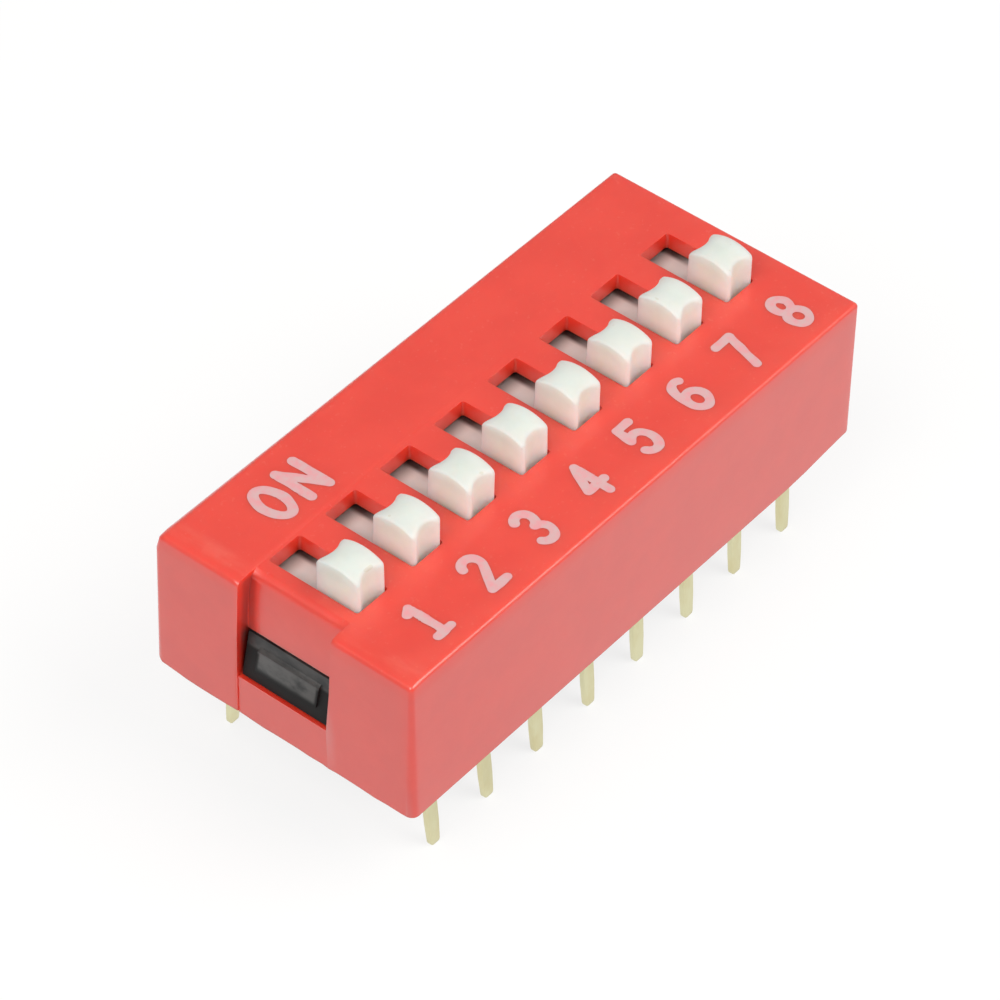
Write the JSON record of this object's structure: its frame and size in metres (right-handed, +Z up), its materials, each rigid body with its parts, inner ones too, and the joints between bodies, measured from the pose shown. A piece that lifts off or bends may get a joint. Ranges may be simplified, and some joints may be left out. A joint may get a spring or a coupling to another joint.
{
  "type": "dip switch",
  "caption": "Slide DIP switch for a circuit board: a moulded cover snapped over a base, with a row of finger sliders that bridge terminals whose pins stand out below.",
  "frame": {"origin": "middle of the footprint, on the seat, which is the underside of the base and lies on the circuit board", "axes": "+X along the row from the first position to the last, +Y towards the ON side, +Z up through the knobs"},
  "size_m": [0.0218, 0.01, 0.0103],
  "materials": {
    "red_moulding": "moulded, satin gloss",
    "black_moulding": "moulded, satin",
    "white_moulding": "moulded, satin",
    "plated_strip": "tin plated, satin",
    "gilt_spring": "gold plated"
  },
  "bodies": {
    "housing": {"cover": "red_moulding", "base": "black_moulding", "terminal_1": "plated_strip", "terminal_2": "plated_strip", "terminal_3": "plated_strip", "terminal_4": "plated_strip", "terminal_5": "plated_strip", "terminal_6": "plated_strip", "terminal_7": "plated_strip", "terminal_8": "plated_strip", "terminal_9": "plated_strip", "terminal_10": "plated_strip", "terminal_11": "plated_strip", "terminal_12": "plated_strip", "terminal_13": "plated_strip", "terminal_14": "plated_strip", "terminal_15": "plated_strip", "terminal_16": "plated_strip"},
    "switch_1": {"slider_1": "white_moulding", "blade_1": "gilt_spring"},
    "switch_2": {"slider_2": "white_moulding", "blade_2": "gilt_spring"},
    "switch_3": {"slider_3": "white_moulding", "blade_3": "gilt_spring"},
    "switch_4": {"slider_4": "white_moulding", "blade_4": "gilt_spring"},
    "switch_5": {"slider_5": "white_moulding", "blade_5": "gilt_spring"},
    "switch_6": {"slider_6": "white_moulding", "blade_6": "gilt_spring"},
    "switch_7": {"slider_7": "white_moulding", "blade_7": "gilt_spring"},
    "switch_8": {"slider_8": "white_moulding", "blade_8": "gilt_spring"}
  },
  "joints": [
    {"name": "switch_1_slide", "type": "slide", "parent": "housing", "child": "switch_1", "axis": [0, 1, 0], "range_m": [0, 0.00175]},
    {"name": "switch_2_slide", "type": "slide", "parent": "housing", "child": "switch_2", "axis": [0, 1, 0], "range_m": [0, 0.00175]},
    {"name": "switch_3_slide", "type": "slide", "parent": "housing", "child": "switch_3", "axis": [0, 1, 0], "range_m": [0, 0.00175]},
    {"name": "switch_4_slide", "type": "slide", "parent": "housing", "child": "switch_4", "axis": [0, 1, 0], "range_m": [0, 0.00175]},
    {"name": "switch_5_slide", "type": "slide", "parent": "housing", "child": "switch_5", "axis": [0, 1, 0], "range_m": [0, 0.00175]},
    {"name": "switch_6_slide", "type": "slide", "parent": "housing", "child": "switch_6", "axis": [0, 1, 0], "range_m": [0, 0.00175]},
    {"name": "switch_7_slide", "type": "slide", "parent": "housing", "child": "switch_7", "axis": [0, 1, 0], "range_m": [0, 0.00175]},
    {"name": "switch_8_slide", "type": "slide", "parent": "housing", "child": "switch_8", "axis": [0, 1, 0], "range_m": [0, 0.00175]}
  ]
}
